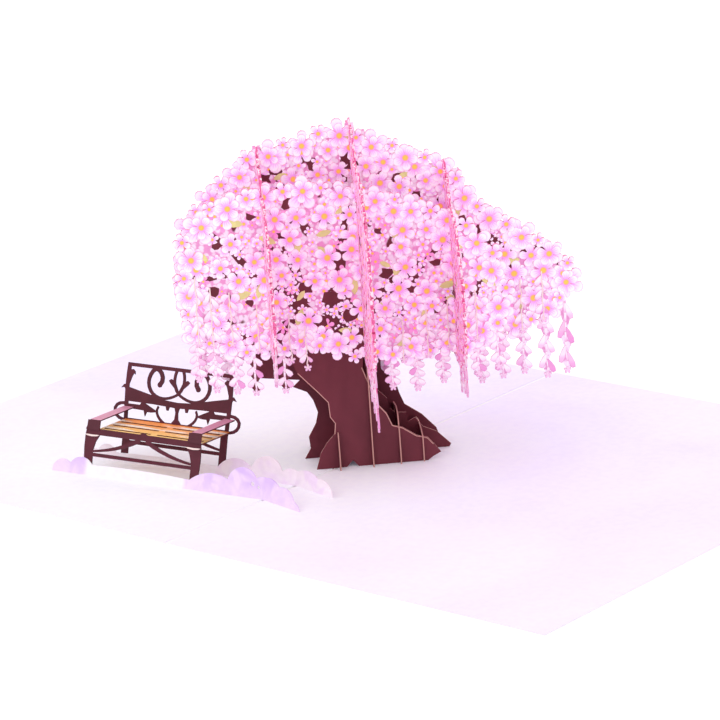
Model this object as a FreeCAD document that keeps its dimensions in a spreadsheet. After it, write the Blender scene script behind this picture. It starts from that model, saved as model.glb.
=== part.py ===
import FreeCAD, Part
import math
import os
import Sketcher

# A blossom tree and a park bench that stand up from an opened greetings card.
# X runs across the card, Y along its fold and away from the front edge, Z up.
# The origin is the middle of the underside of the opened cover.

Vector = FreeCAD.Vector
Rotation = FreeCAD.Rotation
Placement = FreeCAD.Placement
doc = FreeCAD.newDocument("pop_up_card")

# Driving dimensions in millimetres and degrees.
DRIVING = (
    ("card_width", 300),
    ("card_depth", 200),
    ("cover_thickness", 0.4),
    ("score_width", 0.8),
    ("score_depth", 0.15),
    ("page_thickness", 0.3),
    ("page_margin", 2),
    ("fold_gap", 1.5),
    ("sheet_thickness", 0.4),
    ("slot_clearance", 0.1),
    ("lattice_angle", 45),
    ("row_pitch", 12),
    ("crown_column_left", 30),
    ("crown_column_right", 29.5),
    ("root_column_left", 10.8),
    ("root_column_right", 9),
    ("root_column_end", 16.5),
    ("trunk_lap", 55),
    ("crown_lap_left", 66),
    ("crown_lap_right", 60),
    ("root_lap", 4.5),
    ("tab_length", 4),
    ("blossom_radius", 5.1),
    ("blossom_pitch", 11.6),
    ("strand_width", 0.8),
    ("leaflet_reach", 1.4),
    ("strip_angle", 9.5),
    ("strip_lean", 17),
    ("front_strip_place", 52.5),
    ("strip_spacing", 15.2),
    ("bench_middle", 47.8),
    ("bench_half_width", 20.5),
    ("seat_height", 13.4),
    ("arm_height", 17.3),
    ("arm_width", 3.9),
    ("post_width", 1.4),
    ("rail_width", 1.3),
    ("leg_width", 2.8),
    ("slat_count", 4),
    ("slat_gap", 0.8),
)
sizes = doc.addObject("Spreadsheet::Sheet", "sizes")
for row, (word, value) in enumerate(DRIVING, start=1):
    sizes.set("A%d" % row, word)
    sizes.set("B%d" % row, str(value))
    sizes.setAlias("B%d" % row, word)
doc.recompute()


def size(word):
    return float(sizes.get(word))


GROUND = size("cover_thickness") + size("page_thickness")
THICK = size("sheet_thickness")
SLOT_TERM = "sizes.sheet_thickness + 2 * sizes.slot_clearance"


def flat(x, y):
    return Vector(x, y, 0)


def polygon(points):
    """A flat face whose outline always runs anticlockwise, so that all faces look the same way."""
    turning = sum(a[0] * b[1] - b[0] * a[1] for a, b in zip(points, points[1:] + points[:1]))
    corners = [flat(x, y) for x, y in (points if turning > 0 else points[::-1])]
    return Part.Face(Part.makePolygon(corners + corners[:1]))


def mirrored(points):
    return [(-x, y) for x, y in points]


def ribbon(points, start_width, end_width, steps=6):
    """A stroke of changing width along a smooth line through the points."""
    line = Part.BSplineCurve()
    line.interpolate([flat(x, y) for x, y in points])
    first, span = line.FirstParameter, line.LastParameter - line.FirstParameter
    left, right = [], []
    for step in range(steps + 1):
        share = step / steps
        place = line.value(first + span * share)
        along = line.tangent(first + span * share)[0]
        half = (start_width + (end_width - start_width) * share) / 2
        left.append((place.x - along.y * half, place.y + along.x * half))
        right.append((place.x + along.y * half, place.y - along.x * half))
    return polygon(left + right[::-1])


def ring(x, y, radius, corners=8):
    """A small round spot, as the many-sided outline that a fine blade cuts."""
    turns = [2 * math.pi * corner / corners for corner in range(corners)]
    return polygon([(x + radius * math.cos(turn), y + radius * math.sin(turn)) for turn in turns])


def arched(humps, base):
    """A face under a row of arcs, each start, crest and end, closed by straight base lines."""
    edges = [Part.Arc(flat(*start), flat(*crest), flat(*end)).toShape() for start, crest, end in humps]
    corners = [humps[-1][2]] + base + [humps[0][0]]
    edges += [Part.LineSegment(flat(*a), flat(*b)).toShape() for a, b in zip(corners, corners[1:])]
    return Part.Face(Part.Wire(edges))


def joined(faces):
    """One flat outline from overlapping faces, without the seams between them."""
    return Part.Shell(faces[0].fuse(faces[1:]).Faces).removeSplitter()


def upright(turn, lean, base):
    """Stands a flat outline up: its x along the turned line, its y up and leaning back."""
    spin = Rotation(Vector(0, 0, 1), turn)
    rise = Rotation(Vector(1, 0, 0), 90 - lean)
    return Placement(base, spin.multiply(rise))


def card_sheet(name, outline, place):
    """Card cut to a flat outline, as thick as the sheet stock, half each side of the outline."""
    face = doc.addObject("Part::Feature", name + "_outline")
    face.Shape = outline
    face.Placement = place
    card = doc.addObject("Part::Extrusion", name + "_card")
    card.Base = face
    card.DirMode = "Custom"
    card.Dir = place.Rotation.multVec(Vector(0, 0, 1))
    card.Symmetric = True
    card.Solid = True
    card.setExpression("LengthFwd", "sizes.sheet_thickness")
    return card


def cutter(name, place, length, width, height):
    """A box that stands on the placement, centred on it lengthways and widthways."""
    box = doc.addObject("Part::Box", name)
    box.setExpression("Length", length)
    box.setExpression("Width", width)
    box.setExpression("Height", height)
    doc.recompute()
    middle = Vector(-box.Length.Value / 2, -box.Width.Value / 2, 0)
    box.Placement = place.multiply(Placement(middle, Rotation()))
    return box


def cut_piece(name, base, tools):
    doc.recompute()
    pool = doc.addObject("Part::Compound", name + "_cutters")
    pool.Links = tools
    piece = doc.addObject("Part::Cut", name)
    piece.Base = base
    piece.Tool = pool
    piece.Label = name
    return piece


def fused(name, parts):
    piece = doc.addObject("Part::MultiFuse", name)
    piece.Shapes = parts
    piece.Label = name
    return piece


def plate(name, width, depth, thickness):
    """A body padded from a dimensioned rectangle whose corner is the body's origin."""
    body = doc.addObject("PartDesign::Body", name)
    sketch = body.newObject("Sketcher::SketchObject", name + "_sketch")
    planes = [o for o in body.Origin.OriginFeatures if o.Role == "XY_Plane"]
    sketch.AttachmentSupport = [(planes[0], "")]
    sketch.MapMode = "FlatFace"
    rough = 10.0
    corners = (flat(0, 0), flat(rough, 0), flat(rough, rough), flat(0, rough))
    for start, end in zip(corners, corners[1:] + corners[:1]):
        sketch.addGeometry(Part.LineSegment(start, end), False)
    for side in range(4):
        joint = Sketcher.Constraint("Coincident", side, 2, (side + 1) % 4, 1)
        sketch.addConstraint(joint)
    for side, way in enumerate(("Horizontal", "Vertical", "Horizontal", "Vertical")):
        sketch.addConstraint(Sketcher.Constraint(way, side))
    sketch.addConstraint(Sketcher.Constraint("Coincident", 0, 1, -1, 1))
    across = sketch.addConstraint(Sketcher.Constraint("DistanceX", 0, 1, 0, 2, rough))
    along = sketch.addConstraint(Sketcher.Constraint("DistanceY", 1, 1, 1, 2, rough))
    sketch.setExpression("Constraints[%d]" % across, width)
    sketch.setExpression("Constraints[%d]" % along, depth)
    pad = body.newObject("PartDesign::Pad", name + "_pad")
    pad.Profile = sketch
    pad.setExpression("Length", thickness)
    return body


# The lattice: long sheets run along its first direction and cross sheets along the second.
ANGLE = math.radians(size("lattice_angle"))
PITCH = size("row_pitch")


def on_lattice(along, toward):
    """The place on the page of a point given along the rows and toward the viewer."""
    x = along * math.cos(ANGLE) + toward * math.cos(ANGLE)
    y = along * math.sin(ANGLE) - toward * math.sin(ANGLE)
    return Vector(x, y, GROUND)


def row_place(toward):
    return upright(size("lattice_angle"), 0, on_lattice(0, toward))


def column_place(along):
    return upright(-size("lattice_angle"), 0, on_lattice(along, 0))


# Blossoms and hanging strands of the cut outlines.
PETALS = 5
LEAFLETS = 3
STRAND_ROOT = 6


def blossom(x, y, radius, turn):
    """Five blunt petals with a notch between each two."""
    points = []
    step = 2 * math.pi / PETALS
    for petal in range(PETALS):
        middle = turn + petal * step
        for share, reach in ((-0.5, 0.5), (-0.2, 0.97), (0.2, 0.97)):
            bearing = middle + share * step
            points.append((x + radius * reach * math.cos(bearing), y + radius * reach * math.sin(bearing)))
    return polygon(points)


def slot_mouths(crown, places, upper):
    """Where slots at these places open through the crown's upper or lower rim."""
    mouths = []
    for place in places:
        levels = []
        for (ax, ay), (bx, by) in zip(crown, crown[1:] + crown[:1]):
            if min(ax, bx) <= place <= max(ax, bx) and ax != bx:
                levels.append(ay + (by - ay) * (place - ax) / (bx - ax))
        mouths.append((place, max(levels) if upper else min(levels)))
    return mouths


def rim_blossoms(crown, mouths, upper):
    """Blossoms at even steps along the crown's closed line, and one that each slot opens through."""
    petal_up = math.pi / 2 if upper else -math.pi / 2
    faces = [blossom(x, y, 1.1 * size("blossom_radius"), petal_up) for x, y in mouths]
    closed = crown + crown[:1]
    runs = [math.dist(a, b) for a, b in zip(closed, closed[1:])]
    count = round(sum(runs) / size("blossom_pitch"))
    for number in range(count):
        rest = sum(runs) * number / count
        leg = 0
        while rest > runs[leg]:
            rest -= runs[leg]
            leg += 1
        (ax, ay), (bx, by) = closed[leg], closed[leg + 1]
        share = rest / runs[leg]
        x, y = ax + (bx - ax) * share, ay + (by - ay) * share
        if all(math.dist((x, y), mouth) > 0.75 * size("blossom_pitch") for mouth in mouths):
            radius = size("blossom_radius") * (1 + 0.12 * math.sin(2.4 * number))
            faces.append(blossom(x, y, radius, 1.3 * number))
    return faces


def strand(x, top, length):
    """A hanging twig, rooted in the crown, with leaflets on alternate sides down to its tip."""
    reach = size("leaflet_reach")
    half = size("strand_width") / 2
    drop = length / LEAFLETS
    down, up = [(x - half, top + STRAND_ROOT)], [(x + half, top + STRAND_ROOT)]
    for leaflet in range(LEAFLETS):
        level = top - drop * leaflet
        down += [(x - half, level - 0.3 * drop), (x - half - reach, level - 0.75 * drop)]
        up += [(x + half, level - 0.55 * drop), (x + half + reach, level - drop)]
    return polygon(down + [(x, top - length - reach)] + up[::-1])


def tree_outline(trunk, crown, strands, slots, upper):
    parts = [polygon(trunk)] if trunk else []
    parts += [polygon(crown)] + rim_blossoms(crown, slot_mouths(crown, slots, upper), upper)
    parts += [strand(*each) for each in strands]
    return joined(parts)


def slot_box(name, turn, base, bottom, height):
    """A slot through a standing sheet, as wide as the sheet stock and its clearance."""
    place = Placement(base + Vector(0, 0, bottom), Rotation(Vector(0, 0, 1), turn))
    return cutter(name, place, SLOT_TERM, "4 * sizes.sheet_thickness", height)


COLUMNS = {
    "crown_cross_left": (-size("crown_column_left"), "crown_lap_left", True),
    "root_cross_left": (-size("root_column_left"), "root_lap", False),
    "tree_cross_sheet": (0, "trunk_lap", True),
    "root_cross_right": (size("root_column_right"), "root_lap", False),
    "root_cross_end": (size("root_column_end"), "root_lap", False),
    "crown_cross_right": (size("crown_column_right"), "crown_lap_right", True),
}
ROWS = {"tree_front_sheet": PITCH, "tree_middle_sheet": 0, "tree_back_sheet": -PITCH}
TALL = 130  # longer than any slot, which runs out past the sheet's rim


def row_slots(name, toward):
    """A sheet of a row is open at the top for crown columns and at the foot for root columns."""
    boxes = []
    for column, (along, lap, from_above) in COLUMNS.items():
        base = on_lattice(along, toward)
        bottom, height = (size(lap), str(TALL)) if from_above else (-1, "1 + sizes." + lap)
        boxes.append(slot_box(name + "_at_" + column, size("lattice_angle"), base, bottom, height))
    return boxes


def column_slots(name, along, lap, from_above):
    """A cross sheet has the other half of each crossing."""
    boxes = []
    for row_name, toward in ROWS.items():
        base = on_lattice(along, toward)
        bottom, height = (-1, "1 + sizes." + lap) if from_above else (size(lap), str(TALL))
        boxes.append(slot_box(name + "_at_" + row_name, -size("lattice_angle"), base, bottom, height))
    return boxes


# The three long sheets of the tree, each trunk and crown cut from one printed card.
FRONT_TRUNK = [
    (-18.4, 0), (-16.7, 5.5), (-14.6, 8.7), (-12, 11.5), (-11.5, 15.2), (-13, 17.4),
    (-13.3, 22.5), (-16.3, 26.2), (-22.6, 33.2), (-27, 44), (-6, 48), (0, 46), (-1.5, 33),
    (2.7, 20.4), (5.4, 17.1), (7.1, 12.9), (10.3, 11.9), (14.7, 8.8), (18.2, 7.8), (20, 5.6),
    (22.2, 2.6), (19.5, 1.2), (17.8, 0), (-4.7, 0), (-6.5, 2.2), (-8.6, 0),
]
FRONT_CROWN = [
    (-54, 50), (-55, 66), (-54, 80), (-47, 87), (-36, 91.5), (-20, 93), (-6, 91), (8, 87),
    (20, 83), (32, 77), (40, 68), (44, 56), (44, 46), (34, 40), (18, 38), (0, 39), (-20, 44),
    (-34, 43), (-46, 45),
]
FRONT_STRANDS = [
    (-54, 46, 11), (-48.5, 43, 12), (-42, 42, 12), (-36, 41, 12), (-26.5, 40, 11),
    (8, 36, 9), (16, 35, 9), (24.5, 36, 8), (36, 39, 10), (42.5, 43, 12),
]
MIDDLE_TRUNK = [
    (-21.4, 0), (-19.3, 3.4), (-19.7, 7.3), (-17.1, 11.8), (-16.2, 15.5), (-17.5, 19.8),
    (-19.3, 22.7), (-23.7, 24.8), (-21.3, 27), (-34.8, 28.8), (-36.5, 36.8), (-42, 46),
    (-6, 56), (22, 46), (12, 38), (3.8, 30), (3.8, 21.3), (6.6, 18.3), (7.3, 14.8), (8.9, 13.3),
    (12.5, 13), (12.9, 9.8), (15.3, 11), (17.7, 7.7), (22.2, 5.6), (26.6, 1), (26, 0),
    (4, 0), (0, 1.8), (-4, 0),
]
MIDDLE_CROWN = [
    (-53, 46), (-55, 60), (-55, 74), (-51, 85), (-42, 93), (-31, 100.5), (-18, 104.5), (-4, 107.5),
    (7, 103), (16, 98.5), (26, 95.5), (33, 86), (42, 76.5), (54, 68.5), (64, 61.5), (67.5, 53),
    (62, 45), (48, 39), (34, 35), (16, 35), (-10, 40), (-28, 42), (-40, 40),
]
MIDDLE_STRANDS = [
    (-52, 42, 9), (-44, 38, 9), (38, 34, 11), (45, 37, 13), (52, 39, 14), (59.5, 43, 20),
    (66, 49, 25),
]
BACK_TRUNK = [
    (-19, 0), (-17.5, 4), (-14, 9), (-11.5, 14), (-12, 24), (-18, 34), (-24, 46), (0, 50), (16, 46),
    (9, 36), (10, 22), (11.5, 16), (13, 12), (18.5, 8), (23, 3), (24, 0), (4, 0), (0, 2), (-4, 0),
]
BACK_CROWN = [
    (-48, 50), (-50, 66), (-47, 80), (-36, 89), (-20, 94), (-4, 95), (12, 91), (24, 85), (34, 77),
    (42, 66), (47, 54), (42, 44), (26, 39), (8, 40), (-18, 43), (-36, 44),
]
BACK_STRANDS = [
    (-47, 46, 10), (-40, 43, 11), (-25, 40, 10), (18, 37, 10), (36, 40, 10), (44, 44, 12),
]
TAB_PLACES = {"tree_front_sheet": -15, "tree_middle_sheet": -18, "tree_back_sheet": -15.5}
OUTLINES = {
    "tree_front_sheet": (FRONT_TRUNK, FRONT_CROWN, FRONT_STRANDS),
    "tree_middle_sheet": (MIDDLE_TRUNK, MIDDLE_CROWN, MIDDLE_STRANDS),
    "tree_back_sheet": (BACK_TRUNK, BACK_CROWN, BACK_STRANDS),
}


def tab(place):
    """A foot tab as deep as the page it is let into."""
    half = size("tab_length") / 2
    depth = size("page_thickness")
    left, right = place - half, place + half
    return polygon([(left, 0.5), (left, -depth), (right, -depth), (right, 0.5)])


def slit_box(name, turn, base):
    """The slit in a page that a foot tab goes down through."""
    place = Placement(base - Vector(0, 0, size("page_thickness")), Rotation(Vector(0, 0, 1), turn))
    length = "sizes.tab_length + 2 * sizes.slot_clearance"
    return cutter(name, place, length, SLOT_TERM, "sizes.page_thickness")


pieces = []
left_slits = []
right_slits = []
for name, toward in ROWS.items():
    crown_columns = [along for along, lap, from_above in COLUMNS.values() if from_above]
    outline = tree_outline(*OUTLINES[name], crown_columns, True)
    outline = joined([outline, tab(TAB_PLACES[name])])
    card = card_sheet(name, outline, row_place(toward))
    pieces.append(cut_piece(name, card, row_slots(name, toward)))
    slit = slit_box(name + "_slit", size("lattice_angle"), on_lattice(TAB_PLACES[name], toward))
    left_slits.append(slit)

# The cross sheets: the full one carries trunk and crown, two carry crown only, three are roots.
CROSS_TRUNK = [
    (-15, 0), (-14, 6), (-13.6, 33), (-17, 44), (17, 44), (13.6, 33), (14, 6), (14.8, 0),
    (4, 0), (0, 2), (-4, 0),
]
CROSS_CROWN = [
    (0, 108), (9, 106), (13, 99), (20, 96), (33, 97), (44, 91), (51, 80), (53, 66), (52, 52),
    (44, 43), (30, 39), (16, 39), (-16, 39), (-30, 40), (-43, 44), (-50, 54), (-52, 68), (-47, 82),
    (-36, 92), (-20, 96), (-13, 99), (-9, 106),
]
CROSS_STRANDS = [
    (50.5, 46, 20), (45, 42, 14), (37, 39, 11), (28, 37, 8), (-28, 38, 9), (-38, 41, 11), (-47, 47, 14),
]
LEFT_CROSS_CROWN = [
    (0, 101), (8, 98), (12, 90), (22, 89), (32, 84), (39, 74), (41, 62), (36, 51), (22, 45), (0, 44),
    (-22, 45), (-36, 52), (-40, 64), (-36, 78), (-24, 87), (-12, 91), (-8, 98),
]
LEFT_CROSS_STRANDS = [(37, 51, 9), (30, 46, 9), (20, 42, 8), (-20, 43, 8), (-32.5, 48.5, 10)]
RIGHT_CROSS_CROWN = [
    (0, 92), (8, 89), (12, 80), (22, 79), (32, 75), (39, 66), (41, 54), (36, 44), (22, 38), (0, 37),
    (-22, 38), (-36, 45), (-40, 57), (-36, 70), (-24, 78), (-12, 81), (-8, 89),
]
RIGHT_CROSS_STRANDS = [(38, 44, 13), (31, 40, 10), (20, 35, 8), (-20, 36, 8), (-34, 42, 11)]
CROWN_SHEETS = {
    "tree_cross_sheet": (CROSS_TRUNK, CROSS_CROWN, CROSS_STRANDS),
    "crown_cross_left": (None, LEFT_CROSS_CROWN, LEFT_CROSS_STRANDS),
    "crown_cross_right": (None, RIGHT_CROSS_CROWN, RIGHT_CROSS_STRANDS),
}
ROOT_SHEETS = {
    "root_cross_left": [
        (-15, 0), (-14, 6), (-13, 11), (-6, 13), (6, 13), (13, 12), (14.6, 6), (15.6, 0),
    ],
    "root_cross_right": [
        (-14, 0), (-13.6, 6), (-13, 12), (-6, 15), (5, 17), (10, 16), (13, 11), (13.8, 5), (14, 0),
    ],
    "root_cross_end": [(-13.6, 0), (-13, 7), (-4, 9), (5, 9.5), (12.8, 8.5), (13.2, 4), (13.2, 0)],
}
CROSS_TAB = 6
TABBED = ("tree_cross_sheet", "root_cross_right", "root_cross_end")
for name, (along, lap, from_above) in COLUMNS.items():
    if name in CROWN_SHEETS:
        open_feet = [] if name == "tree_cross_sheet" else [-PITCH, 0, PITCH]
        outline = tree_outline(*CROWN_SHEETS[name], open_feet, False)
    else:
        outline = polygon(ROOT_SHEETS[name])
    if name in TABBED:
        outline = joined([outline, tab(CROSS_TAB)])
        slit = slit_box(name + "_slit", -size("lattice_angle"), on_lattice(along, CROSS_TAB))
        right_slits.append(slit)
    card = card_sheet(name, outline, column_place(along))
    pieces.append(cut_piece(name, card, column_slots(name, along, lap, from_above)))

# The cover is one stiff card, scored along its fold and opened flat.
cover_plate = plate("cover_plate", "sizes.card_width", "sizes.card_depth", "sizes.cover_thickness")
cover_corner = Vector(-size("card_width") / 2, -size("card_depth") / 2, 0)
cover_plate.Placement = Placement(cover_corner, Rotation())
score_base = Vector(0, 0, size("cover_thickness") - size("score_depth"))
score_place = Placement(score_base, Rotation())
score = cutter("cover_score", score_place, "sizes.score_width", "sizes.card_depth + 2", "1")
pieces.append(cut_piece("cover", cover_plate, [score]))

# A printed page is glued on each half of the cover, short of its edges and of the fold.
PAGE_WIDTH = "sizes.card_width / 2 - sizes.page_margin - sizes.fold_gap / 2"
PAGE_DEPTH = "sizes.card_depth - 2 * sizes.page_margin"
for name, slits in (("left_page", left_slits), ("right_page", right_slits)):
    page = plate(name + "_plate", PAGE_WIDTH, PAGE_DEPTH, "sizes.page_thickness")
    margin = size("page_margin")
    left = margin - size("card_width") / 2 if name == "left_page" else size("fold_gap") / 2
    corner = Vector(left, margin - size("card_depth") / 2, size("cover_thickness"))
    page.Placement = Placement(corner, Rotation())
    pieces.append(cut_piece(name, page, slits))

# Two strips of hills cross the fold. Each is creased there and leans back a little.
SWING = math.radians(size("strip_angle"))
LEAN = math.radians(size("strip_lean"))
CREASE = math.tan(SWING) * math.sin(LEAN)
BELOW = -0.5
FRONT_CREASE_TOP = 7
BACK_CREASE_TOP = 4.6
FRONT_LEFT_HILLS = [
    ((-82, 0), (-78.5, 4.2), (-75, 3.2)), ((-75, 3.2), (-70.8, 5.6), (-66.5, 3.4)),
    ((-66.5, 3.4), (-47, 3.7), (-28.5, 3)), ((-28.5, 3), (-21.5, 6), (-14, 4.8)),
    ((-14, 4.8), (-8.5, 9.4), (-3.4, 6.4)),
    ((-3.4, 6.4), (-1.5, 7.1), (FRONT_CREASE_TOP * CREASE, FRONT_CREASE_TOP)),
]
FRONT_RIGHT_HILLS = [
    ((-FRONT_CREASE_TOP * CREASE, FRONT_CREASE_TOP), (3.2, 7), (6.4, 5.4)),
    ((6.4, 5.4), (11, 5.4), (14.5, 2.6)), ((14.5, 2.6), (16.7, 1.5), (18, 0)),
]
BACK_LEFT_HILLS = [
    ((-83, 0), (-80.5, 3), (-77, 3)), ((-77, 3), (-73.5, 5.2), (-70, 2.8)),
    ((-70, 2.8), (-48, 3.2), (-29.8, 2.8)), ((-29.8, 2.8), (-23.5, 6.2), (-17.2, 3.8)),
    ((-17.2, 3.8), (-11.5, 8.2), (-5.5, 3.8)),
    ((-5.5, 3.8), (-2.6, 5.3), (BACK_CREASE_TOP * CREASE, BACK_CREASE_TOP)),
]
BACK_RIGHT_HILLS = [
    ((-BACK_CREASE_TOP * CREASE, BACK_CREASE_TOP), (5, 5.8), (10, 4.4)),
    ((10, 4.4), (14.8, 4), (18.5, 0)),
]
PEEPHOLES = [ring(-4.6, 4.5, 0.8), ring(-2.3, 3.7, 0.6)]
ACROSS = Vector(math.cos(SWING), math.sin(SWING), 0)
RIGHT = Vector(1, 0, 0)
FOLDWARD = Vector(0, 1, 0)
UP = Vector(0, 0, 1)
FRONT_FOLD = Vector(0, -size("front_strip_place"), GROUND)
BACK_FOLD = FRONT_FOLD + FOLDWARD * (size("strip_spacing") / math.cos(SWING))


def standing_on_page(name, base):
    """What leans is trimmed level with the page that it stands on."""
    place = Placement(Vector(0, 0, GROUND - 2), Rotation())
    below = cutter(name + "_page_level", place, "sizes.card_width", "sizes.card_depth", "2")
    return cut_piece(name, base, [below])


def strip(name, fold_point, left_humps, right_humps, holes):
    left_end, right_end = left_humps[0][0][0], right_humps[-1][2][0]
    left_face = arched(left_humps, [(BELOW * CREASE, BELOW), (left_end, BELOW)])
    right_face = arched(right_humps, [(right_end, BELOW), (-BELOW * CREASE, BELOW)])
    if holes:
        left_face = left_face.cut(holes)
    lean, turn = size("strip_lean"), size("strip_angle")
    left = card_sheet(name + "_left", left_face, upright(turn, lean, fold_point))
    right = card_sheet(name + "_right", right_face, upright(-turn, lean, fold_point))
    return standing_on_page(name, fused(name + "_arms", [left, right]))


pieces.append(strip("front_hill_strip", FRONT_FOLD, FRONT_LEFT_HILLS, FRONT_RIGHT_HILLS, PEEPHOLES))
pieces.append(strip("back_hill_strip", BACK_FOLD, BACK_LEFT_HILLS, BACK_RIGHT_HILLS, []))

# The bench: two leaning panels glued behind the strips, a slatted seat and two folded arms.
# Seat and arms run parallel to the card's fold, or the bench couldn't fold flat with it.
BENCH = FRONT_FOLD - ACROSS * size("bench_middle")
HALF = size("bench_half_width")
POST = size("post_width")
RAIL = size("rail_width")
LEG = size("leg_width")
SLANT = math.cos(LEAN)
SEAT_LEVEL = size("seat_height") / SLANT
ARM_LEVEL = size("arm_height") / SLANT
FOOT = BELOW - SEAT_LEVEL


def from_seat(points):
    """Points whose heights are given from the seat's level."""
    return [(x, SEAT_LEVEL + y) for x, y in points]


def both(function, *shapes):
    """The same stroke or outline, drawn from the seat's level, on the right and mirrored on the left."""
    faces = []
    for points, *rest in shapes:
        faces.append(function(from_seat(points), *rest))
        faces.append(function(from_seat(mirrored(points)), *rest))
    return faces


def bar(bottom, top, reach):
    return polygon([(-reach, bottom), (reach, bottom), (reach, top), (-reach, top)])


def underframe(reach):
    """The stretcher between two legs, with a curved brace up to the rail on each side."""
    braces = both(ribbon, ([(1.2, -0.6), (6.3, -3), (12, -4.8), (reach, -6.2)], 1.5, 0.7))
    stretcher = SEAT_LEVEL - 7.8
    return braces + [bar(stretcher, stretcher + 0.9 * RAIL, reach)]


def bench_panel(name, faces, behind):
    base = BENCH + FOLDWARD * (behind / math.cos(SWING))
    place = upright(size("strip_angle"), size("strip_lean"), base)
    place = place.multiply(Placement(Vector(0, 0, -THICK), Rotation()))
    return card_sheet(name, joined(faces), place)


INNER_LEG = HALF - LEG + 1.2
TAB_LEVEL = SEAT_LEVEL + 0.9
front_faces = underframe(INNER_LEG + 1)
front_faces.append(bar(SEAT_LEVEL - 0.7, SEAT_LEVEL + RAIL, HALF))
front_faces.append(polygon(from_seat([(-2, 1), (2, 1), (0.4, RAIL + 0.5), (-0.4, RAIL + 0.5)])))
cheek_base = ARM_LEVEL - SEAT_LEVEL - 1.4
front_leg = [
    (INNER_LEG, FOOT), (HALF + 1.1, FOOT), (HALF + 1.7, -10), (HALF + 2.1, -5), (HALF + 2, -1),
    (HALF + 1.7, 1), (HALF + 1.1, cheek_base), (HALF - 2.5, cheek_base), (HALF - 3.5, -0.8),
    (INNER_LEG - 0.6, -3), (INNER_LEG + 0.3, -6),
]
front_faces += both(polygon, (front_leg,))
bench_front = bench_panel("bench_front", front_faces, 0)

BACKREST = 18.8
SCROLL_EYE = (7.5, 12.6)
top = SEAT_LEVEL + BACKREST
back_faces = underframe(HALF - LEG + 1)
back_faces.append(bar(SEAT_LEVEL - 0.7, SEAT_LEVEL - 0.7 + RAIL, HALF - 0.3))
back_faces.append(bar(top - 1.2, top, HALF))
wing = [
    (HALF - 0.6, 6.1), (9, 6), (0, 5.6), (-9, 6), (0.6 - HALF, 6.1), (0.6 - HALF, 10.8),
    (-9.3, 8.7), (-5, 7.8), (0, 7.5), (5, 7.8), (9.3, 8.7), (HALF - 0.6, 10.8),
]
back_faces.append(polygon(from_seat(wing)))
back_faces += both(
    ribbon,
    ([(HALF - 0.8, -1), (HALF - 0.6, 4), (HALF - 0.4, 9), (HALF - POST / 2, BACKREST - 0.2)], POST, POST),
    (
        [SCROLL_EYE, (6.6, 14.6), (7.3, 16.6), (9.2, BACKREST - 1.1), (11.3, 15.8), (11.9, 12.8), (10.6, 10),
         (7.6, 8.4), (3.6, 8.6), (-0.3, 10.5)], 1.6, 0.8, 20,
    ),
    ([(0, 10.3), (1.5, 12.6), (1.9, 15), (1.3, BACKREST - 1)], 0.9, 1),
    (
        [(HALF - 0.8, 4.9), (HALF + 2.4, 4.9), (HALF + 3.7, 3.6), (HALF + 3.4, 1.6), (HALF + 1.8, 0.3),
         (HALF - 0.8, 0)], 1.1, 1, 9,
    ),
    ([(7.3, 5.5), (7.8, 3.6), (6.9, 1.9), (4.6, 0.2)], 0.7, 0.9),
)
back_faces += both(
    polygon,
    ([(-0.4, 10.2), (3.5, 13.6), (4.1, 14.4), (3.2, 15), (1.6, 14.3)],),
    (
        [(HALF - 1, 11.5), (HALF - 1.2, 16.5), (HALF - 2.2, 16.7), (HALF - 3, 16), (HALF - 3.1, 15),
         (HALF - 2.6, 15.4), (HALF - 2, 14.4)],
    ),
    (
        [(HALF - 0.5, 11.7), (HALF + 0.9, 11.5), (HALF + 2, 10.2), (HALF + 0.7, 10.5), (HALF + 0.1, 9.6),
         (HALF - 0.5, 8)],
    ),
    (
        [(HALF - 0.5, 3.8), (HALF - 0.5, 5.3), (14.6, 5.3), (13.9, 6.4), (13, 6.2), (8.6, 4.2),
         (7.4, 3.6), (10, 3.2), (11.7, 3.2), (12.3, 1.7), (12.9, 3.6)],
    ),
    ([(2.9, 6), (4.5, 6), (4.1, 4.6), (3.4, 4.5)],),
    ([(-0.1, 0), (2, 0.4), (0.7, 2), (0.5, 4.2), (1, 5.8), (-0.1, 5.8)],),
    ([(HALF - LEG, FOOT), (HALF - 0.1, FOOT), (HALF - 0.2, 0), (HALF - LEG, 0)],),
)
back_faces += [ring(side * SCROLL_EYE[0], SEAT_LEVEL + SCROLL_EYE[1], 0.9) for side in (-1, 1)]
bench_back = bench_panel("bench_back", back_faces, size("strip_spacing"))


def depth_at(level, behind, thicknesses):
    """How far along the fold a leaning panel's plane lies at a height, thicknesses behind a strip."""
    return (behind + level * math.tan(LEAN) + thicknesses * THICK / SLANT) / math.cos(SWING)


def side_profile(name, outline, start, length):
    """An outline in the upright plane of the fold, drawn out along the panels."""
    face = doc.addObject("Part::Feature", name + "_profile")
    face.Shape = outline
    face.Placement = Placement(BENCH + ACROSS * start, Rotation(FOLDWARD, UP, RIGHT))
    drawn = doc.addObject("Part::Extrusion", name + "_drawn")
    drawn.Base = face
    drawn.DirMode = "Custom"
    drawn.Dir = ACROSS
    drawn.Solid = True
    drawn.setExpression("LengthFwd", length)
    return drawn


def level_strip(middle, front, back):
    low, high = middle - THICK / 2, middle + THICK / 2
    return polygon([
        (depth_at(low, *front), low), (depth_at(low, *back), low),
        (depth_at(high, *back), high), (depth_at(high, *front), high),
    ])


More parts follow.
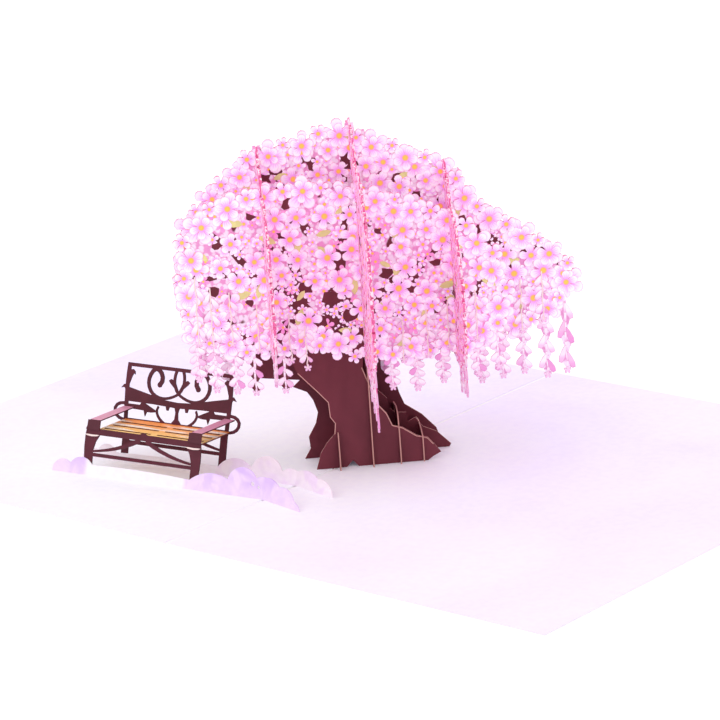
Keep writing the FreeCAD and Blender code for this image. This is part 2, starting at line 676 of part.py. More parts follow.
SPACING = size("strip_spacing")
seat_card = side_profile(
    "bench_seat", level_strip(size("seat_height"), (0, 1.5), (SPACING, 0.5)), -HALF,
    "2 * sizes.bench_half_width",
)
gaps = []
seat_front = depth_at(size("seat_height"), 0, 1.5)
slat_step = SPACING / math.cos(SWING) / int(size("slat_count"))
for number in range(1, int(size("slat_count"))):
    for side in (-1, 1):
        middle = BENCH + ACROSS * (side * HALF / 2) + FOLDWARD * (seat_front + slat_step * number)
        place = Placement(middle + UP * (size("seat_height") - 1), Rotation(UP, size("strip_angle")))
        gap_name = "seat_gap_%d_%s" % (number, "left" if side < 0 else "right")
        gaps.append(cutter(gap_name, place, "sizes.bench_half_width - 2.4", "sizes.slat_gap", "2"))
pieces.append(cut_piece("bench_seat", seat_card, gaps))

# Each arm is a strip that runs level from the back panel, folds down and is tabbed into a front leg.
arm_slots = []
DROP_TOP = size("arm_height") + THICK / 2
TAB_REACH = 1.2
for side, name in ((-1, "bench_left_arm"), (1, "bench_right_arm")):
    middle = side * (HALF - 0.8)
    start = middle - size("arm_width") / 2
    run = level_strip(size("arm_height"), (0, -0.5), (SPACING, 0.5))
    foot = TAB_LEVEL * SLANT
    drop = polygon([
        (depth_at(foot, 0, -0.5), foot), (depth_at(foot, 0, 0.5), foot),
        (depth_at(DROP_TOP, 0, 0.5), DROP_TOP), (depth_at(DROP_TOP, 0, -0.5), DROP_TOP),
    ])
    drawn = side_profile(name, joined([run, drop]), start, "sizes.arm_width")
    cheek = [
        (middle - 2.6, TAB_LEVEL), (middle + 2.6, TAB_LEVEL), (middle + 2.1, TAB_LEVEL + 1.2),
        (middle + 1.95, ARM_LEVEL), (middle - 1.95, ARM_LEVEL), (middle - 2.1, TAB_LEVEL + 1.2),
    ]
    place = upright(size("strip_angle"), size("strip_lean"), BENCH)
    flare = card_sheet(name + "_flare", polygon(cheek), place)
    half_tab = size("arm_width") / 2 - 0.3
    tab_face = polygon([
        (middle - half_tab, -1.5 * THICK - TAB_REACH), (middle + half_tab, -1.5 * THICK - TAB_REACH),
        (middle + half_tab, 0), (middle - half_tab, 0),
    ])
    level = Placement(Vector(0, TAB_LEVEL + THICK / 2, 0), Rotation(RIGHT, 90))
    arm_tab = card_sheet(name + "_tab", tab_face, place.multiply(level))
    pieces.append(fused(name, [drawn, flare, arm_tab]))
    slot_foot = Vector(middle, TAB_LEVEL - size("slot_clearance"), -THICK)
    lower = Placement(slot_foot, Rotation(RIGHT, -90))
    slot = cutter(
        name + "_slot", place.multiply(lower), "sizes.arm_width - 0.6 + 2 * sizes.slot_clearance",
        "3 * sizes.sheet_thickness", SLOT_TERM,
    )
    arm_slots.append(slot)
pieces.append(standing_on_page("bench_front", cut_piece("bench_front_slotted", bench_front, arm_slots)))
pieces.append(standing_on_page("bench_back", bench_back))

doc.recompute()
for item in doc.Objects:
    if "Invalid" in item.State or "Error" in item.State:
        raise RuntimeError(item.Name + " failed: " + str(item.State))
for piece in pieces:
    if piece.Shape.isNull() or not piece.Shape.isValid():
        raise RuntimeError(piece.Label + " has no valid shape")
os.makedirs("parts", exist_ok=True)
for piece in pieces:
    solids = piece.Shape.Solids
    print(piece.Label, len(solids), "solids", round(piece.Shape.Volume, 2), "mm3")
    piece.Shape.exportStep("parts/%s.step" % piece.Label)
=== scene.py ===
import math
import random

import bpy
from mathutils import Matrix, Vector


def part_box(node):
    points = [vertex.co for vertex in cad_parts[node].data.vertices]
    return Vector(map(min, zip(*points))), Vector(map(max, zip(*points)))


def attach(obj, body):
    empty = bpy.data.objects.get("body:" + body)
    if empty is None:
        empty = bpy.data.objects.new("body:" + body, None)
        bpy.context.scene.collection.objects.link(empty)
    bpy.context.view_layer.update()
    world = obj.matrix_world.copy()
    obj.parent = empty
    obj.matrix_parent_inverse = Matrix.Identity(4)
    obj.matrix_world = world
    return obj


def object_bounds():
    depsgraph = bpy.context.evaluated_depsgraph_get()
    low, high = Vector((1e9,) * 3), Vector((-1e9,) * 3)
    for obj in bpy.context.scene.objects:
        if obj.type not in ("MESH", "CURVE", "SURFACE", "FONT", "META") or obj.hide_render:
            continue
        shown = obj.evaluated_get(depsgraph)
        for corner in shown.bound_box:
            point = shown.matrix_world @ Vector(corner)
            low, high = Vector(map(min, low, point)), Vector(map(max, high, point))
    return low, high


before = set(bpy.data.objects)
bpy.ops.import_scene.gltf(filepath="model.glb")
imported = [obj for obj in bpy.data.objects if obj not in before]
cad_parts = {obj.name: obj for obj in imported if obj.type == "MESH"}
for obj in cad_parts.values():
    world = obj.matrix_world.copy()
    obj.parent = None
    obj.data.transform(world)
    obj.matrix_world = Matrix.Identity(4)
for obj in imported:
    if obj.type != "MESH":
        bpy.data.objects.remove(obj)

cad_low, cad_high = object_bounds()

# The cover
# One stiff white card, scored down its middle and opened flat. It is smooth coated stock with the
# faint tooth of pressed paper, and its bare rim shows round the printed pages.


def feed(tree, socket, value):
    """Links a socket to another one, or sets it to a plain value."""
    if isinstance(value, bpy.types.NodeSocket):
        tree.links.new(value, socket)
    else:
        socket.default_value = value


def put(tree, kind, inputs=None, **settings):
    """A node with its settings, and its sockets set to plain values or linked to other sockets."""
    node = tree.nodes.new(kind)
    for name, value in settings.items():
        setattr(node, name, value)
    for socket, value in (inputs or {}).items():
        feed(tree, node.inputs[socket], value)
    return node


def ink(red, green, blue):
    """A printed colour as it looks, each part from 0 to 255, in the linear values that light uses."""
    shares = [part / 255 for part in (red, green, blue)]
    return [s / 12.92 if s <= 0.04045 else ((s + 0.055) / 1.055) ** 2.4 for s in shares] + [1]


def effect(name, inputs, outputs):
    """An empty node group with named sockets, which are colours, vectors or plain values."""
    group = bpy.data.node_groups.new(name, "ShaderNodeTree")
    for way, sockets in (("INPUT", inputs), ("OUTPUT", outputs)):
        for socket, kind in sockets.items():
            group.interface.new_socket(socket, in_out=way, socket_type="NodeSocket" + kind)
    return group, group.nodes.new("NodeGroupInput").outputs, group.nodes.new("NodeGroupOutput").inputs


def blended(tree, share, first, second, way="MIX"):
    """A colour between two others."""
    node = put(tree, "ShaderNodeMix", {"Factor": share}, data_type="RGBA", blend_type=way)
    for socket, value in (("A", first), ("B", second)):
        target = [entry for entry in node.inputs if entry.name == socket and entry.type == "RGBA"][0]
        feed(tree, target, value)
    return [entry for entry in node.outputs if entry.type == "RGBA"][0]


def sums(tree, way, first, second=0.0, third=0.0):
    """One step of arithmetic on values that change over the surface."""
    node = put(tree, "ShaderNodeMath", {0: first, 1: second, 2: third}, operation=way)
    return node.outputs[0]


def ramped(tree, share, low, high, start=0.0, end=1.0, smooth=True):
    """The share spread from low..high to start..end, and held there."""
    kind = "SMOOTHSTEP" if smooth else "LINEAR"
    given = {"Value": share, "From Min": low, "From Max": high, "To Min": start, "To Max": end}
    return put(tree, "ShaderNodeMapRange", given, interpolation_type=kind).outputs["Result"]


def places(tree):
    """A point's place in the card's own frame, in metres."""
    return put(tree, "ShaderNodeTexCoord").outputs["Object"]


def noise(tree, where, scale, detail=3.0, twist=0.0):
    """Soft irregular spots, as many to a metre as the scale says."""
    given = {"Vector": where, "Scale": scale, "Detail": detail, "Distortion": twist}
    return put(tree, "ShaderNodeTexNoise", given).outputs["Fac"]


FIBRE_SCALE = 2600
CLOUDING_SCALE = 420
TOOTH_DEPTH = 0.0001
tooth, given, wanted = effect(
    "paper tooth", {"Colour": "Color", "Mottle": "Float"}, {"Colour": "Color", "Height": "Float"}
)
fibres = noise(tooth, places(tooth), FIBRE_SCALE, 4)
clouding = noise(tooth, places(tooth), CLOUDING_SCALE, 5)
shade = sums(tooth, "MULTIPLY", ramped(tooth, clouding, 0.35, 0.7), given["Mottle"])
darker = blended(tooth, 0.35, given["Colour"], ink(150, 130, 150), "MULTIPLY")
tooth.links.new(blended(tooth, shade, given["Colour"], darker), wanted["Colour"])
tooth.links.new(sums(tooth, "MULTIPLY_ADD", clouding, 0.4, fibres), wanted["Height"])


def card_material(name, roughness=0.62, gloss=0.3):
    """A new material, its nodes and its shader."""
    material = bpy.data.materials.new(name)
    material.use_nodes = True
    shader = material.node_tree.nodes["Principled BSDF"]
    shader.inputs["Roughness"].default_value = roughness
    shader.inputs["Specular IOR Level"].default_value = gloss
    return material, material.node_tree, shader


def on_paper(tree, shader, colour, mottle=0.3, relief=0.12):
    """Feeds a printed colour to the shader through the paper's own mottle and tooth."""
    paper = put(tree, "ShaderNodeGroup", {"Colour": colour, "Mottle": mottle}, node_tree=tooth)
    given = {"Strength": relief, "Distance": TOOTH_DEPTH, "Height": paper.outputs["Height"]}
    bump = put(tree, "ShaderNodeBump", given)
    tree.links.new(paper.outputs["Colour"], shader.inputs["Base Color"])
    tree.links.new(bump.outputs["Normal"], shader.inputs["Normal"])


def dress(node, material):
    """Gives a piece of the frame its finish."""
    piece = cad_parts[node]
    piece.data.materials.clear()
    piece.data.materials.append(material)


white_card, tree, shader = card_material("white card", 0.5)
on_paper(tree, shader, ink(255, 254, 255), 0.1)
dress("cover", white_card)

# The printed pages
# Two sheets of matt paper glued on the cover, short of its edges and of the fold. Each is printed
# all over with a very pale wash of lavender and pink. Round the tree's foot the wash is painted
# paler, nearly white: painted light that cancels the tree's shade on the page. The pages also
# glow faintly lilac, which is painted light too.
CLOUD_SCALE = 13
PAINTED_LIGHT_CENTRE = (-0.025, -0.03, 0)
PAINTED_LIGHT_WITHIN = 0.03
PAINTED_LIGHT_BEYOND = 0.11
PAGE_PAINTED_GLOW = 0.06
wash, given, wanted = effect(
    "watercolour wash",
    {"Pale": "Color", "Lilac": "Color", "Pink": "Color", "Scale": "Float"},
    {"Colour": "Color"},
)
drift = noise(wash, places(wash), given["Scale"], 2, 0.8)
pooled = noise(wash, places(wash), sums(wash, "MULTIPLY", given["Scale"], 1.9), 6, 1.6)
blush = noise(wash, places(wash), sums(wash, "MULTIPLY", given["Scale"], 0.7), 3, 0.4)
tinted = blended(wash, ramped(wash, drift, 0.38, 0.66), given["Pale"], given["Lilac"])
rosy = blended(wash, ramped(wash, blush, 0.46, 0.72, 0, 0.85), tinted, given["Pink"])
edges = ramped(wash, sums(wash, "ABSOLUTE", sums(wash, "SUBTRACT", pooled, 0.52)), 0.0, 0.035, 0.16, 0)
wash.links.new(blended(wash, edges, rosy, given["Lilac"]), wanted["Colour"])

printed_page, tree, shader = card_material("printed page", 0.66)
where = put(tree, "ShaderNodeSeparateXYZ", {"Vector": places(tree)})
inks = {"Pale": ink(238, 232, 248), "Lilac": ink(231, 221, 249), "Pink": ink(241, 226, 246)}
clouds = put(tree, "ShaderNodeGroup", {**inks, "Scale": CLOUD_SCALE}, node_tree=wash)
rightward = ramped(tree, where.outputs["X"], cad_low.x, cad_high.x * 0.6, 0.0, 0.42)
washed = blended(tree, rightward, clouds.outputs["Colour"], ink(242, 230, 253))
# Painted light: the wash fades to nearly white round the tree's foot, cancelling the tree's shade.
away = put(tree, "ShaderNodeVectorMath", {0: places(tree), 1: PAINTED_LIGHT_CENTRE}, operation="DISTANCE")
painted_light_pool = ramped(tree, away.outputs["Value"], PAINTED_LIGHT_WITHIN, PAINTED_LIGHT_BEYOND, 1, 0)
on_paper(tree, shader, blended(tree, painted_light_pool, washed, ink(246, 247, 250)), 0.12)
# Painted light: the pages glow faintly lilac to lift the shade that the tree puts on them.
shader.inputs["Emission Color"].default_value = ink(226, 226, 255)
shader.inputs["Emission Strength"].default_value = PAGE_PAINTED_GLOW
for page in ("left_page", "right_page"):
    dress(page, printed_page)

# The hill strips
# Two long strips of printed card that cross the fold, creased there, with their tops cut to a row
# of low hills. The front one is printed lavender and the back one cream, both with pink blots, and
# both are left nearly white on the low stretch in front of the bench's panels.
LOW_STRETCH = (-0.069, -0.029)
STRETCH_EDGE = 0.002
HILL_FOOT = 0.0005
HILL_CREST = 0.0085


def hill_material(name, foot, crest, blot):
    material, tree, shader = card_material(name)
    where = put(tree, "ShaderNodeSeparateXYZ", {"Vector": places(tree)})
    rising = ramped(tree, where.outputs["Z"], HILL_FOOT, HILL_CREST)
    colour = blended(tree, rising, foot, crest)
    blots = ramped(tree, noise(tree, places(tree), 95, 2, 1.2), 0.45, 0.62, 0, 0.8)
    printed = blended(tree, blots, colour, blot)
    entered = ramped(tree, where.outputs["X"], LOW_STRETCH[0], LOW_STRETCH[0] + STRETCH_EDGE)
    left_behind = ramped(tree, where.outputs["X"], LOW_STRETCH[1] - STRETCH_EDGE, LOW_STRETCH[1], 1, 0)
    bare = sums(tree, "MULTIPLY", entered, left_behind)
    on_paper(tree, shader, blended(tree, bare, printed, ink(252, 245, 253)), 0.2)
    return material


lavender_hills = hill_material("lavender hills", ink(238, 212, 252), ink(222, 190, 248), ink(246, 222, 251))
cream_hills = hill_material("cream hills", ink(255, 244, 252), ink(248, 232, 240), ink(248, 226, 250))
dress("front_hill_strip", lavender_hills)
dress("back_hill_strip", cream_hills)

# The trunk, the roots and the bare card of the crown
# Stiff card printed a flat dark red-brown, with pink under the blossoms. Where the blade went
# through, the pale core of the card shows as a fine line, streaked with pink in the crown.
LATTICE = math.sqrt(0.5)
ALONG = Vector((LATTICE, LATTICE, 0))
TOWARD = Vector((LATTICE, -LATTICE, 0))
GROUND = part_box("left_page")[1].z
MM = 0.001
TRUNK_TOP = 0.049
CROWN_FOOT = 0.05
LEFT_FORK = (0.022, 0.030)
RIGHT_FORK = (0.013, 0.026)


def reach_along(tree, vector, direction):
    """How far a vector reaches along a direction."""
    node = put(tree, "ShaderNodeVectorMath", {0: vector, 1: direction}, operation="DOT_PRODUCT")
    return node.outputs["Value"]


blade, given, wanted = effect(
    "cut edge", {"Print": "Color", "Core": "Color", "Facing": "Vector"}, {"Colour": "Color"}
)
normal = put(blade, "ShaderNodeNewGeometry").outputs["Normal"]
squareness = sums(blade, "ABSOLUTE", reach_along(blade, normal, given["Facing"]))
side_on = ramped(blade, squareness, 0.3, 0.5, 1, 0)
blade.links.new(blended(blade, side_on, given["Print"], given["Core"]), wanted["Colour"])


def cut_from_card(tree, printed, core, facing):
    """The printed colour on the two faces of a sheet and its core's colour where it was cut."""
    given = {"Print": printed, "Core": core, "Facing": facing}
    return put(tree, "ShaderNodeGroup", given, node_tree=blade).outputs["Colour"]


BARK = ink(112, 43, 56)
BARK_DEEP = ink(102, 37, 50)
BARK_CORE = ink(196, 142, 134)


def bark_colour(tree):
    """Flat dark red-brown with the faintest upright grain."""
    stretch = put(tree, "ShaderNodeMapping", {"Vector": places(tree), "Scale": (1, 1, 0.3)})
    grain = noise(tree, stretch.outputs["Vector"], 120, 2, 0.4)
    return blended(tree, ramped(tree, grain, 0.35, 0.7), BARK, BARK_DEEP)


def stacked_edges(tree):
    """The cut rims of many petals on top of each other: pale, with streaks of strong pink."""
    stretch = put(tree, "ShaderNodeMapping", {"Vector": places(tree), "Scale": (1, 1, 0.22)})
    streaks = ramped(tree, noise(tree, stretch.outputs["Vector"], 1300, 2), 0.41, 0.53)
    return blended(tree, streaks, ink(255, 226, 242), ink(238, 104, 164))


def tree_material(name, across, facing, left_foot, right_foot, left_bough, right_bough):
    """Bark in the trunk's zone and the crown's pink above and outside it. Distances are in mm."""
    material, tree, shader = card_material(name)
    over = reach_along(tree, places(tree), across)
    height = put(tree, "ShaderNodeSeparateXYZ", {"Vector": places(tree)}).outputs["Z"]
    left = ramped(tree, height, *LEFT_FORK, left_foot * MM, left_bough * MM)
    right = ramped(tree, height, *RIGHT_FORK, right_foot * MM, right_bough * MM)
    past_left = sums(tree, "GREATER_THAN", over, left)
    between = sums(tree, "MULTIPLY", past_left, sums(tree, "LESS_THAN", over, right))
    trunk = sums(tree, "MULTIPLY", between, sums(tree, "LESS_THAN", height, TRUNK_TOP))
    petals = put(tree, "ShaderNodeTexVoronoi", {"Vector": places(tree), "Scale": 560})
    dots = ramped(tree, petals.outputs["Distance"], 0.4, 0.7)
    under = blended(tree, dots, ink(254, 238, 255), ink(240, 160, 214))
    gaps = ramped(tree, noise(tree, places(tree), 135, 2), 0.6, 0.63)
    high = sums(tree, "GREATER_THAN", height, CROWN_FOOT)
    crown = blended(tree, sums(tree, "MULTIPLY", gaps, high), under, BARK)
    printed = blended(tree, trunk, crown, bark_colour(tree))
    faces = cut_from_card(tree, printed, stacked_edges(tree), facing)
    cores = cut_from_card(tree, printed, BARK_CORE, facing)
    on_paper(tree, shader, blended(tree, trunk, faces, cores), 0.2)
    return material


row_print = tree_material("tree row print", ALONG, TOWARD, -24, 30, -40, 6)
cross_print = tree_material("tree cross print", TOWARD, ALONG, -18, 18, -20, 20)
for sheet in ("tree_front_sheet", "tree_middle_sheet", "tree_back_sheet"):
    dress(sheet, row_print)
for sheet in ("tree_cross_sheet", "crown_cross_left", "crown_cross_right"):
    dress(sheet, cross_print)
root_print, tree, shader = card_material("root print")
on_paper(tree, shader, cut_from_card(tree, bark_colour(tree), BARK_CORE, ALONG), 0.2)
for sheet in ("root_cross_left", "root_cross_right", "root_cross_end"):
    dress(sheet, root_print)

# The boughs
# Dark limbs printed on the crown's card, which show wherever the blossoms leave a gap. They climb
# out of the trunk and fork towards the rim, thin and a little crooked.
THICK = 0.4


def stroke(points, start_width, end_width):
    """The outline of a crooked line that narrows from one end to the other."""
    left, right = [], []
    for number, (x, y) in enumerate(points):
        before, after = points[max(number - 1, 0)], points[min(number + 1, len(points) - 1)]
        run = math.dist(before, after)
        share = number / (len(points) - 1)
        half = (start_width + (end_width - start_width) * share) / 2
        across, up = (after[0] - before[0]) / run * half, (after[1] - before[1]) / run * half
        left.append((x - up, y + across))
        right.append((x + up, y - across))
    return left, right


class Plates:
    """Flat shapes that go through one sheet of the tree and stand a hair proud of both its faces."""

    def __init__(self, sheet, row, rim_ink=0):
        low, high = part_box(sheet)
        self.rim_ink = rim_ink
        self.across = ALONG if row else TOWARD
        self.out = TOWARD if row else ALONG
        self.base = self.out * ((low + high) / 2).dot(self.out) + Vector((0, 0, GROUND))
        self.points, self.faces, self.inks, self.prints, self.tones = [], [], [], [], []

    def add(self, centre, outline, lift, ink_number=0, tone=0.0, unit=1.0):
        """One plate, from its centre and its outline round it, in mm along and up the sheet."""
        count = len(outline)
        for side in (1, -1):
            first = len(self.points)
            for share, (x, y) in [(0, centre)] + [(1, point) for point in outline]:
                place = self.across * x + self.out * side * (THICK / 2 + lift) + Vector((0, 0, y))
                self.points.append(self.base + place * MM)
                self.prints.append(((x - centre[0]) / unit, (y - centre[1]) / unit, share))
                self.tones.append(tone)
            for corner in range(count):
                after = (corner + 1) % count
                fan = (first, first + 1 + corner, first + 1 + after)
                self.faces.append(fan if side > 0 else fan[::-1])
                self.inks.append(ink_number)
        front = first - count - 1
        for corner in range(count):
            after = (corner + 1) % count
            self.faces.append((front + 1 + corner, first + 1 + corner, first + 1 + after, front + 1 + after))
            self.inks.append(self.rim_ink)

    def add_line(self, points, start_width, end_width, lift, ink_number=0, tone=0.0):
        """A crooked line, as one plate for each of its straight runs."""
        left, right = stroke(points, start_width, end_width)
        for at in range(len(points) - 1):
            outline = [right[at], right[at + 1], left[at + 1], left[at]]
            middle = (sum(x for x, y in outline) / 4, sum(y for x, y in outline) / 4)
            self.add(middle, outline, lift, ink_number, tone)

    def piece(self, name, materials, slot):
        """Makes the plates into one piece of the scene, which rides on the card."""
        mesh = bpy.data.meshes.new(name)
        mesh.from_pydata(self.points, [], self.faces)
        printed = mesh.attributes.new("print", "FLOAT_VECTOR", "POINT")
        printed.data.foreach_set("vector", [part for entry in self.prints for part in entry])
        mesh.attributes.new("tone", "FLOAT", "POINT").data.foreach_set("value", self.tones)
        for material in materials:
            mesh.materials.append(material)
        mesh.polygons.foreach_set("material_index", self.inks)
        mesh.update()
        piece = bpy.data.objects.new(name, mesh)
        bpy.context.scene.collection.objects.link(piece)
        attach(piece, "root")


BOUGHS = {
    "tree_front_sheet": [
        ([(-16, 42), (-18, 52), (-24, 60), (-33, 65), (-44, 68), (-52, 66)], 7, 1.2),
        ([(-19, 56), (-21, 68), (-25, 80), (-28, 92)], 4, 1.2),
        ([(-12, 42), (-9, 56), (-6, 72), (-3, 88)], 8, 1.2),
        ([(-6, 42), (4, 56), (16, 65), (28, 73)], 7, 1.2),
        ([(-33, 65), (-41, 76), (-48, 83)], 3, 1),
    ],
    "tree_middle_sheet": [
        ([(-12, 46), (-8, 62), (-5, 80), (-2, 102)], 11, 1.8),
        ([(-6, 50), (8, 58), (22, 62), (34, 66), (43, 68), (60, 63.5), (66, 58)], 10, 1.2),
        ([(22, 62), (28, 74), (35, 82)], 4, 1.2),
        ([(34, 66), (39, 73), (44, 73)], 5, 1.4),
        ([(-14, 50), (-26, 62), (-38, 74), (-48, 84)], 8, 1.4),
        ([(-30, 48), (-42, 54), (-52, 60)], 6, 1.2),
    ],
    "tree_back_sheet": [
        ([(-10, 48), (-16, 64), (-24, 80), (-32, 86)], 8, 1.4),
        ([(-2, 50), (8, 64), (20, 76), (30, 78)], 8, 1.4),
    ],
    "tree_cross_sheet": [
        ([(-8, 42), (-16, 58), (-28, 74), (-40, 84)], 9, 1.4),
        ([(8, 42), (16, 58), (28, 74), (40, 86)], 9, 1.4),
        ([(0, 44), (2, 70), (0, 100)], 8, 1.6),
    ],
    "crown_cross_left": [([(0, 50), (-12, 64), (-24, 76)], 5, 1.2), ([(0, 52), (14, 66), (24, 76)], 5, 1.2)],
    "crown_cross_right": [([(0, 44), (-12, 56), (-24, 66)], 5, 1.2), ([(0, 44), (14, 58), (24, 66)], 5, 1.2)],
}
bough_print, tree, shader = card_material("bough print")
on_paper(tree, shader, bark_colour(tree), 0.2)
BOUGH_LIFT = 0.02
LIMB_STEP = 0.004
ROWS = ("tree_front_sheet", "tree_middle_sheet", "tree_back_sheet")
for sheet, limbs in BOUGHS.items():
    plates = Plates(sheet, sheet in ROWS)
    for number, (points, start_width, end_width) in enumerate(limbs):
        plates.add_line(points, start_width, end_width, BOUGH_LIFT + LIMB_STEP * number)
    plates.piece("boughs_" + sheet, [bough_print], "tree_print")

# The pale rim of the trunk
# Where the front sheet was cut along the trunk, the card's pale core shows as a fine line. It is
# drawn as thin strokes on the sheet's two faces, beside the cut.
RIM_START_WIDTH = 0.3
RIM_END_WIDTH = 0.26
RIM_LIFT = 0.04
TRUNK_RIMS = [
    [(-22.4, 33.0), (-16.2, 26.0), (-13.2, 22.4), (-12.9, 17.4), (-11.4, 15.1), (-11.8, 11.5)],
    [
        (-1.8, 33.2), (2.5, 20.4), (5.2, 17.0), (6.9, 12.8), (10.1, 11.7), (14.5, 8.6), (18.0, 7.6),
        (19.8, 5.4),
    ],
]
rim_print, tree, shader = card_material("rim print")
on_paper(tree, shader, ink(204, 150, 142), 0.2)
plates = Plates("tree_front_sheet", True)
for points in TRUNK_RIMS:
    plates.add_line(points, RIM_START_WIDTH, RIM_END_WIDTH, RIM_LIFT)
plates.piece("trunk_rims", [rim_print], "tree_print")

# The blossoms
# Printed flowers that cover the crown's card on both faces, five round petals to each, pale at the
# tips, with fine radial lines and an orange eye. The outer ones are cut out one by one at the rim.
PETALS = 5
BLOSSOM_RADIUS = 5.1
BLOSSOM_PITCH = 11.6
PETAL_LINES = 22
PETAL_PAINTED_GLOW = 0.17
PATCH_CORNERS = 9
ANY_TURN = 6.28
# Painted shade: a deeper pink added to every flower on the cross sheets, for their faces in shade.
CROSS_PAINTED_SHADE = 0.5
# Each spread is the pitch of a scatter and how far a flower may stray in it, in mm.
SMALL_SPREAD = (3.7, 1.3)
LEAF_SPREAD = (13, 5)
LARGE_SPREAD = (7.8, 1.9)
# The rim's own flowers swell and turn along the rim as the cut ones do, and are a little wider.
RIM_SWELL = 0.12
SWELL_STEP = 1.2
TURN_STEP = 0.65
RIM_COVER = 1.05
CROWNS = {
    "tree_front_sheet": [
        (-54, 50), (-55, 66), (-54, 80), (-47, 87), (-36, 91.5), (-20, 93), (-6, 91), (8, 87),
        (20, 83), (32, 77), (40, 68), (44, 56), (44, 46), (34, 40), (18, 38), (0, 39), (-20, 44),
        (-34, 43), (-46, 45),
    ],
    "tree_middle_sheet": [
        (-53, 46), (-55, 60), (-55, 74), (-51, 85), (-42, 93), (-31, 100.5), (-18, 104.5), (-4, 107.5),
        (7, 103), (16, 98.5), (26, 95.5), (33, 86), (42, 76.5), (54, 68.5), (64, 61.5), (67.5, 53),
        (62, 45), (48, 39), (34, 35), (16, 35), (-10, 40), (-28, 42), (-40, 40),
    ],
    "tree_back_sheet": [
        (-48, 50), (-50, 66), (-47, 80), (-36, 89), (-20, 94), (-4, 95), (12, 91), (24, 85), (34, 77),
        (42, 66), (47, 54), (42, 44), (26, 39), (8, 40), (-18, 43), (-36, 44),
    ],
    "tree_cross_sheet": [
        (0, 108), (9, 106), (13, 99), (20, 96), (33, 97), (44, 91), (51, 80), (53, 66), (52, 52),
        (44, 43), (30, 39), (16, 39), (-16, 39), (-30, 40), (-43, 44), (-50, 54), (-52, 68), (-47, 82),
        (-36, 92), (-20, 96), (-13, 99), (-9, 106),
    ],
    "crown_cross_left": [
        (0, 101), (8, 98), (12, 90), (22, 89), (32, 84), (39, 74), (41, 62), (36, 51), (22, 45), (0, 44),
        (-22, 45), (-36, 52), (-40, 64), (-36, 78), (-24, 87), (-12, 91), (-8, 98),
    ],
    "crown_cross_right": [
        (0, 92), (8, 89), (12, 80), (22, 79), (32, 75), (39, 66), (41, 54), (36, 44), (22, 38), (0, 37),
        (-22, 38), (-36, 45), (-40, 57), (-36, 70), (-24, 78), (-12, 81), (-8, 89),
    ],
}


def lobed(lobes, waist, fullness, steps):
    """A unit outline of round lobes about its middle, pinched to the waist between them."""
    points = []
    for lobe in range(lobes):
        for step in range(steps):
            share = step / steps - 0.5
            bearing = 2 * math.pi * (lobe + share) / lobes
            reach = waist + (1 - waist) * max(math.cos(math.pi * share), 0) ** fullness
            points.append((reach * math.cos(bearing), reach * math.sin(bearing)))
    return points


WIDE_FLOWER = lobed(PETALS, 0.3, 0.46, 7)
SLIM_FLOWER = lobed(PETALS, 0.3, 0.62, 6)
LEAF = [(-1, 0), (-0.6, -0.3), (0, -0.42), (0.6, -0.28), (1, 0), (0.6, 0.28), (0, 0.42), (-0.6, 0.3)]


def turned(outline, x, y, radius, turn):
    """A unit outline at its size, turned, and moved to its place."""
    cos, sin = math.cos(turn) * radius, math.sin(turn) * radius
    return [(x + px * cos - py * sin, y + px * sin + py * cos) for px, py in outline]


def inside(line, x, y):
    """Whether a place lies within a closed line."""
    hits = 0
    for (ax, ay), (bx, by) in zip(line, line[1:] + line[:1]):
        if (ay > y) != (by > y) and x < ax + (bx - ax) * (y - ay) / (by - ay):
            hits += 1
    return hits % 2 == 1


def petal_material():
    """Reads each flower's own drawing: its place from the middle, its rim, and how deep its pink is.
    On the cross sheets that depth of pink also holds painted shade.
    """
    material, tree, shader = card_material("petal print", 0.6)
    drawn = put(tree, "ShaderNodeAttribute", {}, attribute_name="print").outputs["Vector"]
    tone = put(tree, "ShaderNodeAttribute", {}, attribute_name="tone").outputs["Fac"]
    split = put(tree, "ShaderNodeSeparateXYZ", {"Vector": drawn})
    reach = sums(tree, "SQRT", sums(
        tree, "ADD",
        sums(tree, "MULTIPLY", split.outputs["X"], split.outputs["X"]),
        sums(tree, "MULTIPLY", split.outputs["Y"], split.outputs["Y"]),
    ))
    bearing = sums(tree, "ARCTAN2", split.outputs["Y"], split.outputs["X"])
    ramp = put(tree, "ShaderNodeValToRGB", {"Fac": reach})
    stops = (
        (0.0, ink(255, 204, 88)), (0.17, ink(255, 196, 92)), (0.21, ink(255, 176, 150)),
        (0.28, ink(242, 168, 246)), (0.5, ink(248, 216, 255)), (0.85, ink(253, 247, 255)),
    )
    ramp.color_ramp.elements.remove(ramp.color_ramp.elements[1])
    for number, (at, colour) in enumerate(stops):
        stop = ramp.color_ramp.elements[0] if number == 0 else ramp.color_ramp.elements.new(at)
        stop.position = at
        stop.color = colour
    rays = sums(tree, "SINE", sums(tree, "MULTIPLY", bearing, PETAL_LINES))
    rayed = sums(tree, "MULTIPLY", ramped(tree, rays, 0.35, 0.95), ramped(tree, reach, 0.2, 0.28))
    fading = sums(tree, "MULTIPLY", rayed, ramped(tree, reach, 0.45, 0.8, 0.6, 0))
    lined = blended(tree, fading, ramp.outputs["Color"], ink(222, 128, 208))
    deeper = sums(tree, "MULTIPLY", tone, ramped(tree, reach, 0.14, 0.22))
    deep = blended(tree, deeper, lined, ink(242, 142, 208))
    rim = ramped(tree, split.outputs["Z"], 0.91, 0.99, 0, 0.5)
    rimmed = blended(tree, rim, deep, ink(222, 140, 196))
    on_paper(tree, shader, rimmed, 0.1)
    # Painted light: the petals glow faintly in their own colours, lifting the shade where the crown's sheets
    # cover each other.
    tree.links.new(rimmed, shader.inputs["Emission Color"])
    shader.inputs["Emission Strength"].default_value = PETAL_PAINTED_GLOW
    return material


